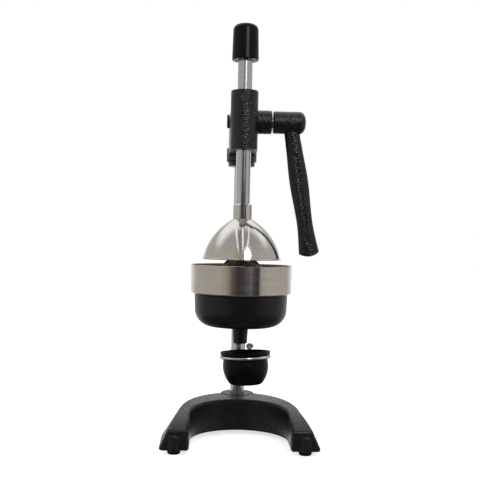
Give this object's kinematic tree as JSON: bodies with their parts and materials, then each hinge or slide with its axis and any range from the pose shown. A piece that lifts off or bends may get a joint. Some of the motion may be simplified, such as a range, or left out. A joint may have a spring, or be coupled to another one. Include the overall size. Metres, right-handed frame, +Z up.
{
  "type": "lever citrus juice press",
  "caption": "Upright lever press for citrus juice: a handle and pinion drive a rack rod and steel bell down on a ribbed cone in a bowl with a spout, over a drip cup and horseshoe base.",
  "frame": {"origin": "on the counter, under the axis of the bell, the bowl and the spout, where the glass stands", "axes": "+Z up, +X towards the handle side, +Y back towards the column"},
  "size_m": [0.2132, 0.1997, 0.5733],
  "materials": {
    "hammertone_black": "satin",
    "base_black": "satin",
    "bowl_black": "satin",
    "polished_steel": "polished",
    "brushed_band": "satin",
    "column_steel": "satin",
    "bright_rod": "satin",
    "chrome_wire": "polished",
    "cap_plastic": "gloss",
    "cup_plastic": "satin",
    "rubber": "matte",
    "bronze": "satin",
    "fastener_steel": "satin",
    "black_fastener": "satin"
  },
  "bodies": {
    "stand": {"base": "base_black", "rubber_feet": "rubber", "foot_screws": "fastener_steel", "column": "column_steel", "column_washer": "fastener_steel", "column_nut": "fastener_steel", "bowl_casting": "bowl_black", "bowl_clamp_bolt": "fastener_steel", "bowl_clamp_nut": "fastener_steel", "steel_band": "brushed_band", "strainer_cone": "brushed_band", "head_casting": "hammertone_black", "head_set_screws": "black_fastener", "shaft_bush": "bronze", "thrust_washer": "fastener_steel", "friction_screw": "black_fastener", "friction_spring": "fastener_steel", "friction_pad": "bronze"},
    "lever": {"pinion_shaft": "fastener_steel", "handle": "hammertone_black", "handle_grub_screw": "black_fastener", "shaft_end_screw": "black_fastener"},
    "rack": {"rack_rod": "bright_rod", "rod_cap": "cap_plastic", "press_bell": "polished_steel", "bell_collar": "polished_steel", "bell_washer": "fastener_steel", "bell_bolt": "fastener_steel"},
    "drip_arm": {"drip_collar": "chrome_wire", "drip_ring": "chrome_wire"},
    "wing": {"wing_screw": "chrome_wire"},
    "cup": {"drip_cup": "cup_plastic"}
  },
  "joints": [
    {"name": "lever_turn", "type": "hinge", "parent": "stand", "child": "lever", "pos_m": [0, 0.01825, 0.442], "axis": [-1, 0, 0], "range_deg": [-150, 372]},
    {"name": "rack_slide", "type": "slide", "parent": "stand", "child": "rack", "axis": [0, 0, 1], "range_m": [-0.029, 0.0716]},
    {"name": "drip_swing", "type": "hinge", "parent": "stand", "child": "drip_arm", "pos_m": [0, 0.085, 0.1074], "axis": [0, 0, 1], "range_deg": [-110, 110]},
    {"name": "wing_turn", "type": "hinge", "parent": "drip_arm", "child": "wing", "pos_m": [0.0142, 0.085, 0.1074], "axis": [1, 0, 0], "range_deg": [0, 720]},
    {"name": "cup_lift", "type": "slide", "parent": "drip_arm", "child": "cup", "axis": [-0.0366, 0.0593, 0.9976], "range_m": [0, 0.0315]}
  ],
  "couplings": [
    {"joint": "rack_slide", "follows": "lever_turn", "m_per_rad": 0.011}
  ]
}
